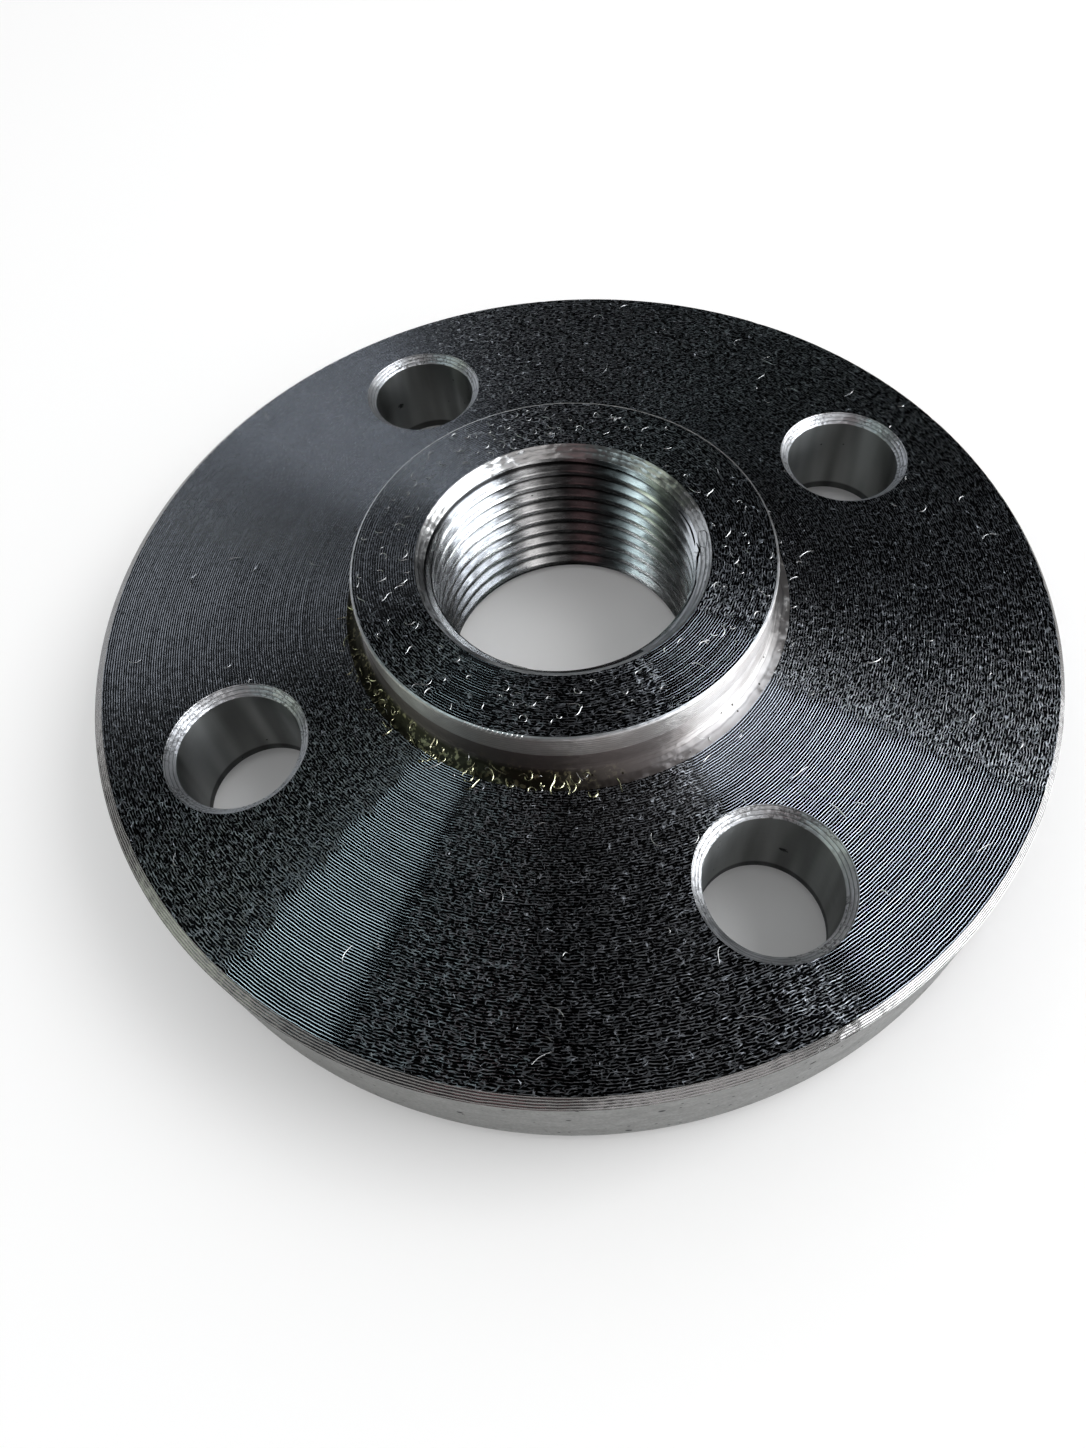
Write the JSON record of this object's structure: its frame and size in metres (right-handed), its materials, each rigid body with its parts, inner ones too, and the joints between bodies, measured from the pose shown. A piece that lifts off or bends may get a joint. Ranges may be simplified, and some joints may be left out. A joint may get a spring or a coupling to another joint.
{
  "type": "threaded flange",
  "caption": "Round steel pipe flange with a short threaded hub, countersunk bolt holes and a raised sealing face.",
  "frame": {"origin": "centre of the raised sealing face that the flange stands on", "axes": "+Z along the threaded bore towards the hub; the bolt holes straddle the X and Y axes"},
  "size_m": [0.115, 0.115, 0.0237],
  "materials": {
    "turned_steel": "turned and drilled, left bare, with fine facing lines"
  },
  "bodies": {
    "root": {"threaded_flange": "turned_steel"}
  },
  "joints": []
}
